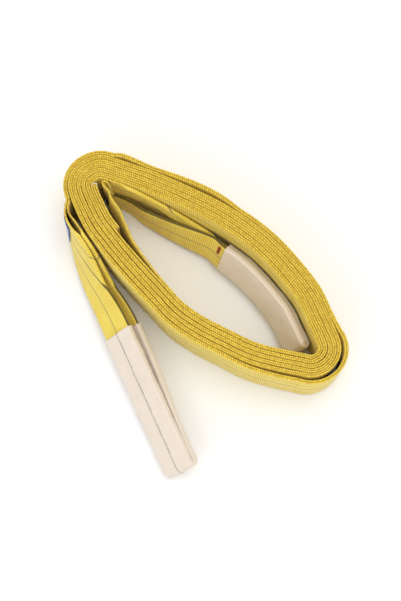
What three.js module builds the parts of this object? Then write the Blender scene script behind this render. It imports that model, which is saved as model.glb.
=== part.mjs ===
// A flat two-ply webbing sling, wound on edge into a long flat coil.
// Millimetres, +Z up. The coil lies on its lower selvages at z = 0.
// One eye is tucked inside the coil. The other eye lies outside it and leans over.
import * as THREE from 'three';

// ---------------------------------------------------------------- driving dimensions
const WEB_WIDTH = 90;
const PLY = 2.5;
const CLEARANCE = 0.3;
const TURNS = 6;
const PLY_STEP = PLY + CLEARANCE;
const TURN_PITCH = 2 * PLY_STEP;
const HALF_PLY = PLY / 2;
const STEP_LENGTH = 34;
const STEP_ANGLE = 17;
const DEGREE = Math.PI / 180;

// A leg of an eye is the webbing folded in half along a crease.
const CREASE_RADIUS = PLY_STEP / 2;
const CREASE_LENGTH = Math.PI * CREASE_RADIUS;
const FOLDED_HEIGHT = (WEB_WIDTH - CREASE_LENGTH) / 2;
const CREST = FOLDED_HEIGHT + CREASE_RADIUS + HALF_PLY;
const CREASE_STEPS = 4;
const FINE_STEPS = 24;

// The wear sleeve is a sheet wrapped round a folded leg, with its seam on the outer side.
const SLEEVE = 1.2;
const SLEEVE_SLIT = 0.6;
const SLEEVE_CORNER = 1.2;
const CORNER_STEPS = 2;
const SEAM_WIDTH = 3;
const SEAM_THREAD = 0.6;
const SLEEVE_OUT = HALF_PLY + CLEARANCE + SLEEVE;
const SLEEVE_IN = PLY_STEP + SLEEVE_OUT;
const BIGHT_RADIUS = SLEEVE_IN + CLEARANCE / 2;
const BIGHT_STEPS = 12;
const LEG_SPREAD = 2 * BIGHT_RADIUS;

const LEG_ROOM = 2 * PLY_STEP + CLEARANCE;

// The outer eye's legs: the distances along them at which each change begins and is done.
const OUTER_LEAN = 44;
const OUTER_FOLD_FROM = 32;
const OUTER_FOLD_BY = 125;
const OUTER_WIDEN_FROM = 50;
const MOUTH_SPREAD = 19;
const SLEEVE_LIFT = 1.6;

const LABEL_LENGTH = 24;
const LABEL_HEIGHT = 56;
const LABEL_BOTTOM = 22;
const LABEL_THICKNESS = 0.6;
const LABEL_START = 9;

const HINGE_GAP = 1.4;
const STUB_LENGTH = 6;
const LEG_STEPS = 22;
const TIP_STEPS = 4;
const POCKET_STEPS = 18;
const LAP_START = 5.897;
const LAP_END = 6.02;
const LAP_BEND_STEPS = 7;
const ROOT_RUNGS = 8;
const ROOT_STITCH_MARGIN = 12;
const OUTER_ROOT_STITCHED = [0.004, 0.03];
const INNER_ROOT_STITCHED = [5.7, 5.76];
const OVERLOCK_FROM_STEP = 2;
const OVERLOCK_BOTTOM = 3;
const LABEL_STITCH_MARGIN = 1;
const SAME_TURN = 1e-6;
const RUNG_REACH = 6;
const STITCH_OFF = 1;
const LABEL_HEM = 5;
const LABEL_HINGE_GAP = 0.6;
const LABEL_STEPS = 3;

// Inner face of the innermost turn, clockwise from the sharp left end of the coil.
const CORE_POINTS = [
  [-129, 130.5], [-131, 138], [-125, 142.5], [-116, 140.5], [-107, 137.5], [-73, 125.5],
  [-28, 106],
  [10, 87], [34, 72], [59, 53], [79, 33.5], [98, 11], [114, -11], [125, -35],
  [136, -60], [138.5, -69], [133, -73.5], [124, -72], [96, -66.5], [68, -59],
  [36, -44], [6, -28.5], [-19, -11], [-37, 8], [-57, 29.5], [-86, 62.5], [-101, 81.5],
  [-112, 96], [-122, 115],
];

// Where the outermost turn stands away from its neighbour: place round the turn, reach, gap.
const LOOSE_SPANS = [
  { at: 0.135, reach: 0.045, gap: 3.5 },
  { at: 0.22, reach: 0.055, gap: 4 },
  { at: 0.515, reach: 0.06, gap: 1.8 },
  { at: 0.58, reach: 0.13, gap: 2.5 },
];

// ---------------------------------------------------------------- small helpers
const UP = new THREE.Vector3(0, 0, 1);
const flat = (x, y, z = 0) => new THREE.Vector3(x, y, z);
const leftOf = (direction) => new THREE.Vector3(-direction.y, direction.x, 0).normalize();
const moved = (point, ...steps) => {
  const result = point.clone();
  for (const [direction, distance] of steps) result.addScaledVector(direction, distance);
  return result;
};
const smoothRise = (value, low, high) => THREE.MathUtils.smoothstep(value, low, high);

// A closed solid from two matching grids of points, the two faces of one sheet.
function sheetSolid(front, back) {
  const rows = front.length;
  const columns = front[0].length;
  const points = [...front.flat(), ...back.flat()];
  const f = (i, j) => i * columns + j;
  const b = (i, j) => rows * columns + f(i, j);
  const faces = [];
  const quad = (p, q, r, s) => faces.push(p, q, r, p, r, s);
  for (let i = 0; i + 1 < rows; i += 1) {
    for (let j = 0; j + 1 < columns; j += 1) {
      quad(f(i, j), f(i + 1, j), f(i + 1, j + 1), f(i, j + 1));
      quad(b(i, j), b(i, j + 1), b(i + 1, j + 1), b(i + 1, j));
    }
    const last = columns - 1;
    quad(f(i, 0), b(i, 0), b(i + 1, 0), f(i + 1, 0));
    quad(f(i, last), f(i + 1, last), b(i + 1, last), b(i, last));
  }
  for (let j = 0; j + 1 < columns; j += 1) {
    const last = rows - 1;
    quad(f(0, j), f(0, j + 1), b(0, j + 1), b(0, j));
    quad(f(last, j), b(last, j), b(last, j + 1), f(last, j + 1));
  }
  let volume = 0;
  for (let k = 0; k < faces.length; k += 3) {
    const [p, q, r] = [points[faces[k]], points[faces[k + 1]], points[faces[k + 2]]];
    volume += p.dot(q.clone().cross(r));
  }
  if (volume < 0) {
    for (let k = 0; k < faces.length; k += 3) {
      [faces[k + 1], faces[k + 2]] = [faces[k + 2], faces[k + 1]];
    }
  }
  const geometry = new THREE.BufferGeometry();
  const positions = points.flatMap((point) => point.toArray());
  geometry.setAttribute('position', new THREE.Float32BufferAttribute(positions, 3));
  geometry.setIndex(faces);
  geometry.computeVertexNormals();
  return geometry;
}

// A strip that stands on edge along stations, between two distances out from them.
function standingStrip(stations, near, far, bottom, top) {
  const face = (distance) => stations.map(({ point, out }) => (
    [bottom, top].map((z) => moved(point, [out, distance], [UP, z]))
  ));
  return sheetSolid(face(far), face(near));
}

const material = (color, roughness) => (
  new THREE.MeshStandardMaterial({ color, roughness, metalness: 0 })
);
const webbingMaterial = () => material(0xe2c01f, 0.75);
const sleeveMaterial = () => material(0xe3d9cb, 0.9);
const threadMaterial = () => material(0xf2efe6, 0.8);
const labelMaterial = () => material(0x4f6fc4, 0.6);

const sling = new THREE.Group();
function add(name, geometry, surface) {
  const mesh = new THREE.Mesh(geometry, surface);
  mesh.name = name;
  sling.add(mesh);
}

// ---------------------------------------------------------------- the coil
const core = new THREE.CatmullRomCurve3(
  CORE_POINTS.map(([x, y]) => flat(x, y)), true, 'centripetal',
);
const SPANS = CORE_POINTS.length;

function looseGap(turn) {
  let gap = 0;
  for (const span of LOOSE_SPANS) {
    const away = Math.abs(turn - span.at) / span.reach;
    if (away < 1) gap += span.gap * (1 - away * away) ** 2;
  }
  return gap;
}

// The inner face of the two plies after so many turns, counted from the outer end.
function coilStation(turn) {
  const place = ((turn % 1) + 1) % 1;
  const tangent = core.getTangent(place);
  const out = leftOf(tangent);
  const distance = TURN_PITCH * (TURNS - turn) + looseGap(turn);
  return { point: moved(core.getPoint(place), [out, distance]), out };
}

// Places round one turn, closer together where the coil bends.
function turnPlaces() {
  const places = [0];
  let before = core.getPoint(0);
  let heading = core.getTangent(0);
  let due = 0;
  for (let k = 1; k < SPANS * FINE_STEPS; k += 1) {
    const place = k / (SPANS * FINE_STEPS);
    const point = core.getPoint(place);
    const tangent = core.getTangent(place);
    due += point.distanceTo(before) / STEP_LENGTH + tangent.angleTo(heading) / STEP_ANGLE / DEGREE;
    before = point;
    heading = tangent;
    if (due >= 1) {
      places.push(place);
      due -= 1;
    }
  }
  return places;
}
const PLACES = turnPlaces();
function turnsBetween(first, last) {
  const turns = [first];
  for (let whole = Math.floor(first); whole <= Math.floor(last); whole += 1) {
    for (const place of PLACES) {
      const turn = whole + place;
      if (turn > first + SAME_TURN && turn < last - SAME_TURN) turns.push(turn);
    }
  }
  return [...turns, last];
}

// ---------------------------------------------------------------- the outer eye's line
// The outer ply's middle surface, along the floor: out of the coil, then over to the tip.
const MOUTH = flat(-118, -46);
const TIP = flat(-42.6, -211.5);
const exit = coilStation(0);
const outerLineStart = moved(exit.point, [exit.out, PLY_STEP + HALF_PLY]);
const outerLine = new THREE.CatmullRomCurve3([
  outerLineStart, flat(-169, 98), flat(-165, 73), flat(-152, 31), flat(-136, -5), MOUTH,
], false, 'centripetal');
const OUTER_LEG_LENGTH = outerLine.getLength();
const sleeveDirection = TIP.clone().sub(MOUTH).normalize();
const OUTER_LENGTH = OUTER_LEG_LENGTH + TIP.distanceTo(MOUTH);

function outerPlace(distance) {
  if (distance < OUTER_LEG_LENGTH) {
    const part = distance / OUTER_LEG_LENGTH;
    return { point: outerLine.getPointAt(part), along: outerLine.getTangentAt(part) };
  }
  const beyond = distance - OUTER_LEG_LENGTH;
  return { point: moved(MOUTH, [sleeveDirection, beyond]), along: sleeveDirection.clone() };
}

// One station of an eye's leg: foot of the outer half, width axis, outward axis, crease.
function outerStation(distance) {
  const { point, along } = outerPlace(distance);
  const right = leftOf(along);
  const settle = smoothRise(distance, 0, OUTER_LEG_LENGTH);
  const lean = (90 - OUTER_LEAN * settle) * DEGREE;
  const width = moved(flat(0, 0), [right, Math.cos(lean)], [UP, Math.sin(lean)]);
  const outward = moved(flat(0, 0), [right, -Math.sin(lean)], [UP, Math.cos(lean)]);
  const spread = PLY_STEP + LEG_ROOM * smoothRise(distance, STUB_LENGTH, OUTER_FOLD_FROM)
    + (MOUTH_SPREAD - PLY_STEP - LEG_ROOM)
      * smoothRise(distance, OUTER_WIDEN_FROM, OUTER_LEG_LENGTH)
    + (LEG_SPREAD - MOUTH_SPREAD) * smoothRise(distance, OUTER_LEG_LENGTH, OUTER_LENGTH);
  const thick = HALF_PLY + (SLEEVE_OUT - HALF_PLY + SEAM_THREAD) * settle;
  const lift = (spread + thick) * Math.cos(lean) + SLEEVE_LIFT * settle * Math.sin(lean);
  const fold = smoothRise(distance, OUTER_FOLD_FROM, OUTER_FOLD_BY);
  return { foot: moved(point, [UP, lift]), width, outward, spread, fold };
}

// The far leg faces the other way, one spread behind the near leg.
const farSide = ({ foot, width, outward, spread, fold }) => ({
  foot: moved(foot, [outward, -spread]), width, outward: outward.clone().negate(), fold,
});

// The stations of a bight: a half turn about the width axis, from a near leg to a far leg.
function bightStations(near, far, way) {
  const ahead = near.outward.clone().cross(near.width).normalize();
  if (ahead.dot(way) < 0) ahead.negate();
  const centre = near.foot.clone().lerp(far.foot, 0.5);
  const reach = near.foot.clone().sub(centre);
  const radius = reach.dot(near.outward);
  const slip = reach.dot(near.width);
  const stations = [];
  for (let step = 1; step < BIGHT_STEPS; step += 1) {
    const turn = Math.PI * (step / BIGHT_STEPS);
    const outward = moved(flat(0, 0), [near.outward, Math.cos(turn)], [ahead, Math.sin(turn)]);
    const foot = moved(centre, [outward, radius], [near.width, slip * Math.cos(turn)]);
    stations.push({ foot, width: near.width, outward, fold: near.fold });
  }
  return stations;
}

// Across the webbing, from the lower selvage over the crease: [along width, outward, turn].
function creasedSection(fold) {
  const front = WEB_WIDTH - fold * (WEB_WIDTH - FOLDED_HEIGHT);
  const rest = WEB_WIDTH - front;
  const turn = Math.min(rest / CREASE_RADIUS, Math.PI);
  const hanging = Math.max(rest - CREASE_LENGTH, 0);
  const section = [[0, 0, 0]];
  for (let step = 0; step <= CREASE_STEPS; step += 1) {
    const angle = turn * (step / CREASE_STEPS);
    const up = front + CREASE_RADIUS * Math.sin(angle);
    section.push([up, CREASE_RADIUS * (Math.cos(angle) - 1), angle]);
  }
  const [up, out] = section[section.length - 1];
  const end = Math.max(hanging, CLEARANCE);
  section.push([up + end * Math.cos(turn), out - end * Math.sin(turn), turn]);
  return section;
}

function foldedWebbing(stations) {
  const face = (side) => stations.map(({ foot, width, outward, fold }) => (
    creasedSection(fold).map(([up, out, turn]) => moved(
      foot,
      [width, up + side * HALF_PLY * Math.sin(turn)],
      [outward, out + side * HALF_PLY * Math.cos(turn)],
    ))
  ));
  return sheetSolid(face(1), face(-1));
}

// The sleeve's middle surface round a folded leg, from one side of its seam to the other.
// The seam is in the middle of the leg's outer side, or of its inner side.
function sleeveSection(seamInside) {
  const low = -CLEARANCE - SLEEVE / 2;
  const high = CREST + CLEARANCE + SLEEVE / 2;
  const outer = SLEEVE_OUT - SLEEVE / 2;
  const inner = -SLEEVE_IN + SLEEVE / 2;
  const middle = (low + high) / 2;
  const c = SLEEVE_CORNER;
  const corners = [
    [low + c, outer - c, 90], [low + c, inner + c, 180],
    [high - c, inner + c, 270], [high - c, outer - c, 0],
  ];
  const section = [[middle - SLEEVE_SLIT / 2, outer, 90]];
  for (const [up, out, start] of corners) {
    for (let step = 0; step <= CORNER_STEPS; step += 1) {
      const angle = start + (90 / CORNER_STEPS) * step;
      section.push([
        up + c * Math.cos(angle * DEGREE), out + c * Math.sin(angle * DEGREE), angle,
      ]);
    }
  }
  section.push([middle + SLEEVE_SLIT / 2, outer, 90]);
  if (!seamInside) return section;
  return section.map(([up, out, angle]) => [up, outer + inner - out, -angle]);
}

function wrappedSleeve(stations, seamInside) {
  const section = sleeveSection(seamInside);
  const face = (side) => stations.map(({ foot, width, outward }) => (
    section.map(([up, out, angle]) => moved(
      foot,
      [width, up + side * (SLEEVE / 2) * Math.cos(angle * DEGREE)],
      [outward, out + side * (SLEEVE / 2) * Math.sin(angle * DEGREE)],
    ))
  ));
  return sheetSolid(face(1), face(-1));
}

// The sleeve's lockstitch seam, one flat thread along a side of the near leg.
function sleeveSeam(stations, near, far) {
  const middle = CREST / 2;
  const face = (out) => stations.map(({ foot, width, outward }) => (
    [-SEAM_WIDTH / 2, SEAM_WIDTH / 2].map((side) => moved(
      foot, [width, middle + side], [outward, out],
    ))
  ));
  return sheetSolid(face(far), face(near));
}

// ---------------------------------------------------------------- the inner eye's line
// It runs along the wall of the innermost turn, from the sharp left end to the right end.
const INNER_START = 0.104;
const INNER_GAP = 0.008;
const NEAR_OUT_BY = 0.116;
const NEAR_FOLD_FROM = 0.112;
const NEAR_FOLD_BY = 0.13;
const INNER_LEAN = 22;
const INNER_LEAN_FROM = 0.135;
const FAR_FOLD_FROM = 0.13;
const FAR_FOLD_BY = 0.262;
const FAR_HALF_FOLDED = 0.3;
const INNER_SLIP = 7;
const INNER_SLEEVE_AT = 0.279;
const SLEEVE_LEAD = 0.03;
const INNER_TIP_AT = 0.468;
const INNER_FOOT = 2;
const SEAM_ROOM = SEAM_THREAD + 2 * CLEARANCE;

// A leg that leans on the wall behind it, from its lean, foot height and distance off the wall.
function leaningLeg(wall, lean, height, distance, fold) {
  const hole = wall.out.clone().negate();
  return {
    foot: moved(wall.point, [hole, distance], [UP, height]),
    width: moved(flat(0, 0), [UP, Math.cos(lean)], [hole, -Math.sin(lean)]),
    outward: moved(flat(0, 0), [hole, Math.cos(lean)], [UP, Math.sin(lean)]),
    fold,
  };
}

// The far leg stands whole against the wall, then folds and leans on it. The near leg folds
// at once and leans on the far leg, a little higher up than it.
function innerLegs(place) {
  const wall = coilStation(TURNS - 1 + place);
  const inSleeve = smoothRise(place, INNER_SLEEVE_AT - SLEEVE_LEAD, INNER_SLEEVE_AT);
  const nearOut = smoothRise(place, INNER_START, NEAR_OUT_BY);
  const nearFold = smoothRise(place, NEAR_FOLD_FROM, NEAR_FOLD_BY);
  const farFold = smoothRise(place, FAR_FOLD_FROM, FAR_FOLD_BY);
  const lean = INNER_LEAN * smoothRise(place, INNER_LEAN_FROM, FAR_FOLD_BY) * DEGREE;
  const front = HALF_PLY + (SLEEVE_OUT - HALF_PLY) * inSleeve;
  const back = front + PLY_STEP;
  const crest = CREST + (SLEEVE + CLEARANCE) * inSleeve;
  const farCrest = crest + (WEB_WIDTH - FOLDED_HEIGHT) * (1 - farFold);
  const low = INNER_FOOT * smoothRise(place, FAR_FOLD_BY, INNER_SLEEVE_AT);
  const farPlace = (angle) => [
    low + front * Math.sin(angle),
    CLEARANCE + farCrest * Math.sin(angle) + front * Math.cos(angle),
  ];
  const nearBack = HALF_PLY + PLY_STEP * nearOut;
  const upright = [
    nearBack * Math.sin(lean),
    PLY_STEP + CLEARANCE + crest * Math.sin(lean) + nearBack * Math.cos(lean),
  ];
  const slip = INNER_SLIP * smoothRise(place, FAR_FOLD_FROM, INNER_SLEEVE_AT);
  const spread = 2 * back + SEAM_ROOM;
  const [farHeight, farDistance] = farPlace(lean);
  const stacked = [
    farHeight + spread * Math.sin(lean) + slip * Math.cos(lean),
    farDistance + spread * Math.cos(lean) - slip * Math.sin(lean),
  ];
  const outOfTheWay = smoothRise(farFold, 0, FAR_HALF_FOLDED);
  const [height, distance] = upright.map((value, k) => (
    value + (stacked[k] - value) * outOfTheWay
  ));
  const near = leaningLeg(wall, lean, height, distance, nearFold);
  const far = leaningLeg(wall, lean * farFold, ...farPlace(lean * farFold), farFold);
  far.outward.negate();
  return { near, far };
}

// The inner ply leaves the others for a hand's width, goes into the sharp left end
// and turns back: distance inwards from the core, by turn, then the bend itself.
const POCKET_START = 5.79;
const POCKET_BOW = [[5.828, 1.5], [5.862, 6.5], [5.897, 12.5], [5.931, 16.5], [5.966, 14.5]];
const POCKET_BEND = [[-113, 128.5], [-118.5, 135], [-121.3, 139.2], [-120.6, 141.4]];

// ---------------------------------------------------------------- build: body plies
function stubStations() {
  const stations = [];
  for (const distance of [STUB_LENGTH - HINGE_GAP / 2, STUB_LENGTH / 2]) {
    const { point, along } = outerPlace(distance);
    const out = leftOf(along).negate();
    stations.push({ point: moved(point, [out, -PLY_STEP - HALF_PLY]), out });
  }
  return stations;
}

function pocketStations() {
  const middle = (turn, inwards) => {
    const { point, out } = coilStation(turn);
    return moved(point, [out, HALF_PLY - inwards]);
  };
  const route = new THREE.CatmullRomCurve3([
    middle(POCKET_START, 0),
    ...POCKET_BOW.map(([turn, inwards]) => middle(turn, inwards)),
    ...POCKET_BEND.map(([x, y]) => flat(x, y)),
    middle(TURNS + INNER_START - INNER_GAP, 0),
  ], false, 'centripetal');
  const stations = [];
  for (let step = 1; step <= POCKET_STEPS; step += 1) {
    const part = step / POCKET_STEPS;
    const out = leftOf(route.getTangent(part));
    stations.push({ point: moved(route.getPoint(part), [out, -HALF_PLY]), out });
  }
  return stations;
}

const outerPlyStations = [
  ...stubStations(), ...turnsBetween(0, TURNS + INNER_START - INNER_GAP).map((t) => coilStation(t)),
];
const innerPlyStations = [
  ...stubStations(), ...turnsBetween(0, POCKET_START).map((t) => coilStation(t)),
  ...pocketStations(),
];
add('outer_ply', standingStrip(outerPlyStations, PLY_STEP, PLY_STEP + PLY, 0, WEB_WIDTH),
  webbingMaterial());
add('inner_ply', standingStrip(innerPlyStations, 0, PLY, 0, WEB_WIDTH), webbingMaterial());

// The lapped end: a doubled strip between the plies, its fold in the sharp left end.
function lapStations() {
  const layer = turnsBetween(LAP_START, LAP_END).map((turn) => coilStation(turn));
  const last = layer[layer.length - 1];
  const ahead = leftOf(last.out).negate();
  const centre = moved(last.point, [last.out, HALF_PLY - PLY_STEP / 2]);
  const bend = [];
  for (let step = 1; step < LAP_BEND_STEPS; step += 1) {
    const angle = Math.PI * (step / LAP_BEND_STEPS);
    const out = moved(flat(0, 0), [last.out, Math.cos(angle)], [ahead, Math.sin(angle)]);
    bend.push({ point: moved(centre, [out, PLY_STEP / 2]), out });
  }
  const near = layer.map(({ point, out }) => ({ point: moved(point, [out, HALF_PLY]), out }));
  const far = layer.map(({ point, out }) => (
    { point: moved(point, [out, HALF_PLY - PLY_STEP]), out: out.clone().negate() }
  )).reverse();
  return { around: [...near, ...bend, ...far], bend };
}
const lap = lapStations();
add('inner_eye_lap', standingStrip(lap.around, -HALF_PLY, HALF_PLY, 0, WEB_WIDTH),
  webbingMaterial());
add('lap_end_overlock', standingStrip(
  lap.bend.slice(OVERLOCK_FROM_STEP), HALF_PLY + CLEARANCE, HALF_PLY + CLEARANCE + SEAM_THREAD,
  OVERLOCK_BOTTOM, WEB_WIDTH,
), threadMaterial());

// ---------------------------------------------------------------- build: outer eye
function legStations(start, end, steps) {
  const stations = [];
  for (let step = 0; step <= steps; step += 1) {
    stations.push(outerStation(start + (end - start) * (step / steps)));
  }
  return stations;
}
const nearLeg = legStations(
  STUB_LENGTH + HINGE_GAP / 2, OUTER_LEG_LENGTH - HINGE_GAP, LEG_STEPS,
);
add('outer_eye_near_leg', foldedWebbing(nearLeg), webbingMaterial());
add('outer_eye_far_leg', foldedWebbing(nearLeg.map(farSide)), webbingMaterial());

const nearTip = legStations(OUTER_LEG_LENGTH, OUTER_LENGTH, TIP_STEPS);
const outerTip = nearTip[nearTip.length - 1];
const outerBight = [
  ...nearTip, ...bightStations(outerTip, farSide(outerTip), sleeveDirection),
  ...nearTip.map(farSide).reverse(),
];
add('outer_eye_bight', foldedWebbing(outerBight), webbingMaterial());
add('outer_eye_sleeve', wrappedSleeve(outerBight, false), sleeveMaterial());
add('outer_sleeve_seam',
  sleeveSeam(nearTip, SLEEVE_OUT + CLEARANCE, SLEEVE_OUT + CLEARANCE + SEAM_THREAD),
  threadMaterial());

// ---------------------------------------------------------------- build: inner eye
function innerStations(places) {
  const legs = places.map(innerLegs);
  const { near, far } = legs[legs.length - 1];
  const way = leftOf(coilStation(TURNS - 1 + INNER_TIP_AT).out).negate();
  return {
    near: legs.map((leg) => leg.near),
    around: [
      ...legs.map((leg) => leg.near), ...bightStations(near, far, way),
      ...legs.map((leg) => leg.far).reverse(),
    ],
  };
}
const sleevedPlaces = turnsBetween(INNER_SLEEVE_AT, INNER_TIP_AT);
const barePlaces = turnsBetween(INNER_START, INNER_SLEEVE_AT).slice(0, -1);
const innerSleeved = innerStations(sleevedPlaces);
add('inner_eye_webbing', foldedWebbing(innerStations([...barePlaces, ...sleevedPlaces]).around),
  webbingMaterial());
add('inner_eye_sleeve', wrappedSleeve(innerSleeved.around, true), sleeveMaterial());
add('inner_sleeve_seam',
  sleeveSeam(innerSleeved.near, -SLEEVE_IN - CLEARANCE - SEAM_THREAD, -SLEEVE_IN - CLEARANCE),
  threadMaterial());

// ---------------------------------------------------------------- build: sewing and label
// A zigzag of thread on a face: its rungs climb and fall across the webbing.
function zigzagThread(stations) {
  const face = (out) => stations.map(({ foot, outward, height }) => (
    [-RUNG_REACH, RUNG_REACH].map((side) => moved(
      foot, [UP, height + side], [outward, out],
    ))
  ));
  return sheetSolid(face(STITCH_OFF + SEAM_THREAD), face(STITCH_OFF));
}
function rootStitching([first, last], faceOut, sign) {
  const stations = [];
  for (let rung = 0; rung <= ROOT_RUNGS; rung += 1) {
    const turn = first + (last - first) * (rung / ROOT_RUNGS);
    const { point, out } = coilStation(turn);
    stations.push({
      foot: moved(point, [out, faceOut]),
      outward: out.clone().multiplyScalar(sign),
      height: rung % 2 === 0 ? ROOT_STITCH_MARGIN : WEB_WIDTH - ROOT_STITCH_MARGIN,
    });
  }
  return zigzagThread(stations);
}
add('outer_root_stitching', rootStitching(OUTER_ROOT_STITCHED, PLY_STEP + PLY, 1),
  threadMaterial());
add('inner_root_stitching', rootStitching(INNER_ROOT_STITCHED, 0, -1),
  threadMaterial());

function plateOnLeg(start, end, low, high, near, far) {
  const stations = legStations(start, end, LABEL_STEPS);
  const face = (out) => stations.map(({ foot, width, outward }) => (
    [low, high].map((height) => moved(foot, [width, height], [outward, HALF_PLY + out]))
  ));
  return sheetSolid(face(far), face(near));
}
const LABEL_TOP = LABEL_BOTTOM + LABEL_HEIGHT;
const HEM_END = LABEL_START + LABEL_HEM;
const labelNear = CLEARANCE;
const labelFar = CLEARANCE + LABEL_THICKNESS;
add('label_hem',
  plateOnLeg(LABEL_START, HEM_END, LABEL_BOTTOM, LABEL_TOP, labelNear, labelFar),
  labelMaterial());
add('label_flap',
  plateOnLeg(HEM_END + LABEL_HINGE_GAP, HEM_END + LABEL_LENGTH, LABEL_BOTTOM, LABEL_TOP,
    labelNear, labelFar),
  labelMaterial());
add('label_stitching',
  plateOnLeg(LABEL_START + LABEL_STITCH_MARGIN, HEM_END - LABEL_STITCH_MARGIN,
    LABEL_BOTTOM + LABEL_STITCH_MARGIN, LABEL_TOP - LABEL_STITCH_MARGIN,
    labelFar + CLEARANCE, labelFar + CLEARANCE + SEAM_THREAD),
  threadMaterial());

// The origin is under the middle of the whole sling's box, on the surface it lies on.
sling.position.set(-3.19, 18.4, 0);

export default sling;
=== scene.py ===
"""A flat two-ply webbing lifting sling, wound on edge into a long coil.

One eye is tucked inside the coil, the other lies outside it and leans over.
Shapes are worked out in millimetres on the coil's own drawing, then put into the frame in metres.
"""
import math

import bpy
import numpy as np
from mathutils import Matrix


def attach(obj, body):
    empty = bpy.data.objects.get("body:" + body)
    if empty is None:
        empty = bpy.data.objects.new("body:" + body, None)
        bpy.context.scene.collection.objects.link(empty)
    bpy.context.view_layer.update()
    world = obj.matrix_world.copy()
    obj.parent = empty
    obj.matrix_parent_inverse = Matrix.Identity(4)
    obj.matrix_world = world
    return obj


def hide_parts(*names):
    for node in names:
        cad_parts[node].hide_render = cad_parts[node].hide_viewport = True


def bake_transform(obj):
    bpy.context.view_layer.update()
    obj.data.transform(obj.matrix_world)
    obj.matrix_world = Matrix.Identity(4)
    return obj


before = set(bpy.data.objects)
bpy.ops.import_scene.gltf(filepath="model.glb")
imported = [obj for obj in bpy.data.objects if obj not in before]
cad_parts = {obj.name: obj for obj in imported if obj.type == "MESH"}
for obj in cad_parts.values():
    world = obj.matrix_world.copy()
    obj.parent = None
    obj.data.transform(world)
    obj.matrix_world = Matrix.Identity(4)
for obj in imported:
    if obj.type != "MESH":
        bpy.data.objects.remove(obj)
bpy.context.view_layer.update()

# ---- driving dimensions, mm
MM = 0.001
DRAWING_SHIFT = np.array([-3.19, 18.4, 0.0])
WEB_WIDTH = 90.0
PLY = 2.5
CLEARANCE = 0.3
TURNS = 6
PLY_STEP = PLY + CLEARANCE
TURN_PITCH = 2 * PLY_STEP
HALF_PLY = PLY / 2
HALF_WEB = 1.12

RIB_PITCH = 2.7
RIB_SAMPLES = 4
STEP = RIB_PITCH / RIB_SAMPLES
FACE_RIB = 0.11
EDGE_RIB = 0.2
EDGE_SLANT = 0.3
HUG = 0.23
EDGE_RISE = 0.55

CREASE_RADIUS = PLY_STEP / 2
CREASE_LENGTH = math.pi * CREASE_RADIUS
FOLDED_HEIGHT = (WEB_WIDTH - CREASE_LENGTH) / 2
CREST = FOLDED_HEIGHT + CREASE_RADIUS + HALF_PLY

SLEEVE = 1.2
SLEEVE_OUT = HALF_PLY + CLEARANCE + SLEEVE
SLEEVE_IN = PLY_STEP + SLEEVE_OUT
SLEEVE_CORNER = 1.9
SLEEVE_STEP = 1.6
SLIT_HALF = 0.04
BIGHT_RADIUS = SLEEVE_IN + CLEARANCE / 2
LEG_SPREAD = 2 * BIGHT_RADIUS
LEG_ROOM = 2 * PLY_STEP + CLEARANCE
OUTER_LEAN = 44.0
LEG_SPLIT = 95.0
STUB = 6.0
ROOT_BEND = 12.0
MOUTH_BEND = 10.0

STITCH_PITCH = 4.6
STITCH_LENGTH = 3.5
STITCH_RUN = np.linspace(-0.5, 0.5, 6)
STITCH_ARCH = np.cos(STITCH_RUN * math.pi)
THREAD = 0.4

# ---- routes, mm
CORE_POINTS = [
    (-129, 130.5), (-131, 138), (-125, 142.5), (-116, 140.5), (-107, 137.5), (-73, 125.5),
    (-28, 106), (10, 87), (34, 72), (59, 53), (79, 33.5), (98, 11), (114, -11), (125, -35),
    (136, -60), (138.5, -69), (133, -73.5), (124, -72), (96, -66.5), (68, -59),
    (36, -44), (6, -28.5), (-19, -11), (-37, 8), (-57, 29.5), (-86, 62.5), (-101, 81.5),
    (-112, 96), (-122, 115),
]
LOOSE_SPANS = [
    {"at": 0.135, "reach": 0.045, "gap": 3.5},
    {"at": 0.22, "reach": 0.055, "gap": 4.0},
    {"at": 0.515, "reach": 0.06, "gap": 1.8},
    {"at": 0.58, "reach": 0.13, "gap": 2.5},
]
POCKET_START = 5.79
POCKET_BOW = [(5.828, 1.5), (5.862, 6.5), (5.897, 12.5), (5.931, 16.5), (5.966, 14.5)]
POCKET_BEND = [(-113, 128.5), (-118.5, 135), (-121.3, 139.2), (-120.6, 141.4)]
POCKET_LEAN = 10.0
POCKET_LEANING = (0.8, 3.8, 4.6, 7.0)
LAP_START = 5.897
LAP_END = 6.02
INNER_START = 0.104
NEAR_OUT_BY = 0.116
NEAR_FOLD_FROM = 0.112
NEAR_FOLD_BY = 0.13
INNER_LEAN = 22.0
INNER_LEAN_FROM = 0.135
FAR_FOLD_FROM = 0.13
FAR_FOLD_BY = 0.262
FAR_HALF_FOLDED = 0.3
INNER_SLIP = 7.0
INNER_SLEEVE_AT = 0.279
SLEEVE_LEAD = 0.03
INNER_TIP_AT = 0.468
INNER_FOOT = 2.0
OUTER_FOLD_FROM = 32.0
OUTER_FOLD_BY = 125.0
OUTER_WIDEN_FROM = 50.0
MOUTH_SPREAD = 19.0
SLEEVE_LIFT = 1.6
OUTER_ROOM = 0.6
SEAM_ROOM = 1.2
MOUTH = np.array([-118.0, -46.0])
TIP = np.array([-42.6, -211.5])
OUTER_POINTS = [(-169, 98), (-165, 73), (-152, 31), (-136, -5)]

# ---- samples, before evening out
CURVE_SAMPLES = 200
OUTER_PLY_SAMPLES = 16000
INNER_PLY_SAMPLES = 15000
POCKET_SAMPLES = 800
LAP_SAMPLES = 300
LAP_BEND_SAMPLES = 24
ROOT_SAMPLES = 400
OUTER_EYE_SAMPLES = 900
OUTER_SLEEVE_SAMPLES = 300
INNER_EYE_SAMPLES = 1600
INNER_SLEEVE_SAMPLES = 700
BIGHT_SAMPLES = 40
LABEL_SAMPLES = 60


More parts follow.
